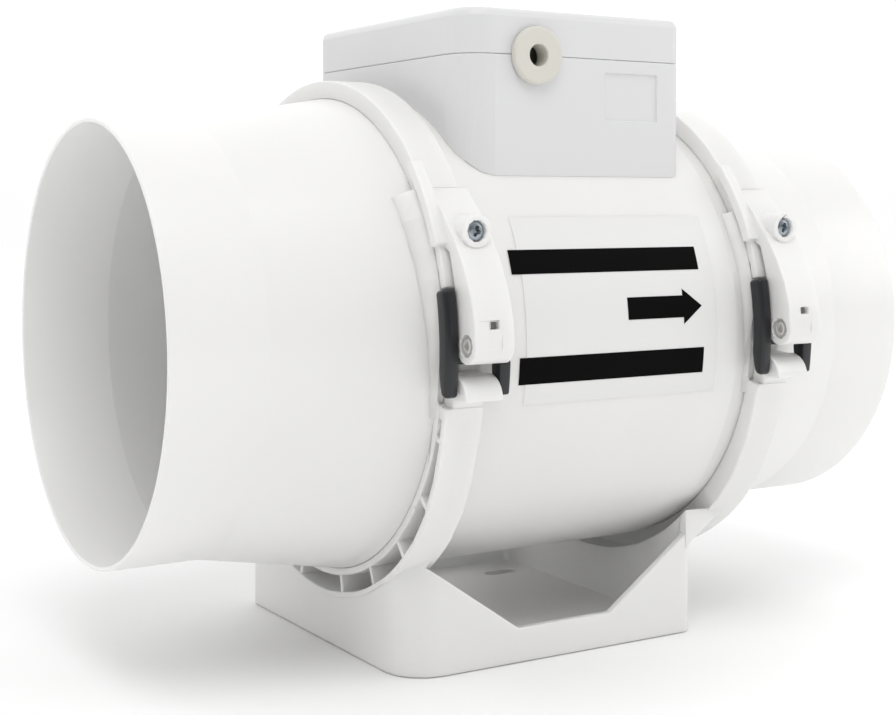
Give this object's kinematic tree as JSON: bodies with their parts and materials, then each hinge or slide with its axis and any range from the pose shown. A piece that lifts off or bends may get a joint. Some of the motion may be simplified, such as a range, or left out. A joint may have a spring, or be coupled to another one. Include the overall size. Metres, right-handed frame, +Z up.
{
  "type": "inline duct fan",
  "caption": "White inline mixed-flow duct fan with round spigots, quick-release clamps, a terminal box on top and a slotted mounting foot.",
  "frame": {"origin": "middle of the mounting foot's underside", "axes": "+X along the airflow from the inlet spigot to the outlet spigot, +Z up, away from the mounting surface, -Y towards the side with the cable entry"},
  "size_m": [0.246, 0.1682, 0.1838],
  "materials": {
    "white_plastic": "satin gloss white moulding",
    "inner_plastic": "satin off-white moulding",
    "box_plastic": "satin light grey moulding",
    "lever_plastic": "black moulding",
    "zinc_steel": "bright zinc",
    "grommet_rubber": "matte ivory",
    "seal_rubber": "matte black",
    "impeller_plastic": "satin grey moulding",
    "core_steel": "dull laminated steel",
    "winding_copper": "enamelled copper",
    "board_green": "satin green",
    "block_plastic": "matte off-white",
    "trimmer_blue": "matte blue",
    "capacitor_shell": "bare"
  },
  "bodies": {
    "fan_body": {"inlet_spigot": "white_plastic", "outlet_spigot": "white_plastic", "motor_casing": "white_plastic", "clamp_band_inlet": "white_plastic", "clamp_band_outlet": "white_plastic", "base_bracket": "white_plastic", "inlet_shroud": "inner_plastic", "guide_vane_housing": "inner_plastic", "tail_cone": "inner_plastic", "terminal_box": "box_plastic", "terminal_box_lid": "box_plastic", "latch_pin_inlet_front": "zinc_steel", "latch_pin_inlet_back": "zinc_steel", "latch_pin_outlet_front": "zinc_steel", "latch_pin_outlet_back": "zinc_steel", "clamp_screw_inlet_front": "zinc_steel", "clamp_screw_inlet_back": "zinc_steel", "clamp_screw_outlet_front": "zinc_steel", "clamp_screw_outlet_back": "zinc_steel", "lid_screw_1": "zinc_steel", "lid_screw_2": "zinc_steel", "lid_screw_3": "zinc_steel", "lid_screw_4": "zinc_steel", "front_bearing": "zinc_steel", "rear_bearing": "zinc_steel", "cable_grommet": "grommet_rubber", "inlet_joint_seal": "seal_rubber", "outlet_joint_seal": "seal_rubber", "stator_core": "core_steel", "front_winding": "winding_copper", "rear_winding": "winding_copper", "timer_board": "board_green", "terminal_block": "block_plastic", "run_capacitor": "capacitor_shell"},
    "rotor": {"impeller": "impeller_plastic", "motor_shaft": "zinc_steel", "rotor_core": "core_steel"},
    "lever_inlet_front": {"latch_lever_inlet_front": "lever_plastic"},
    "lever_inlet_back": {"latch_lever_inlet_back": "lever_plastic"},
    "lever_outlet_front": {"latch_lever_outlet_front": "lever_plastic"},
    "lever_outlet_back": {"latch_lever_outlet_back": "lever_plastic"},
    "trimmer": {"timer_trimmer": "trimmer_blue"}
  },
  "joints": [
    {"name": "impeller_spin", "type": "hinge", "parent": "fan_body", "child": "rotor", "pos_m": [0, 0, 0.0915], "axis": [1, 0, 0], "continuous": true},
    {"name": "latch_hinge_inlet_front", "type": "hinge", "parent": "fan_body", "child": "lever_inlet_front", "pos_m": [-0.04295, -0.0793, 0.0935], "axis": [1, 0, 0], "range_deg": [0, 15]},
    {"name": "latch_hinge_inlet_back", "type": "hinge", "parent": "fan_body", "child": "lever_inlet_back", "pos_m": [-0.04295, 0.0793, 0.0935], "axis": [-1, 0, 0], "range_deg": [0, 15]},
    {"name": "latch_hinge_outlet_front", "type": "hinge", "parent": "fan_body", "child": "lever_outlet_front", "pos_m": [0.06355, -0.0793, 0.0935], "axis": [1, 0, 0], "range_deg": [0, 15]},
    {"name": "latch_hinge_outlet_back", "type": "hinge", "parent": "fan_body", "child": "lever_outlet_back", "pos_m": [0.06355, 0.0793, 0.0935], "axis": [-1, 0, 0], "range_deg": [0, 15]},
    {"name": "trimmer_turn", "type": "hinge", "parent": "fan_body", "child": "trimmer", "pos_m": [0.024, -0.036, 0.1675], "axis": [0, 0, 1], "range_deg": [0, 270]}
  ]
}
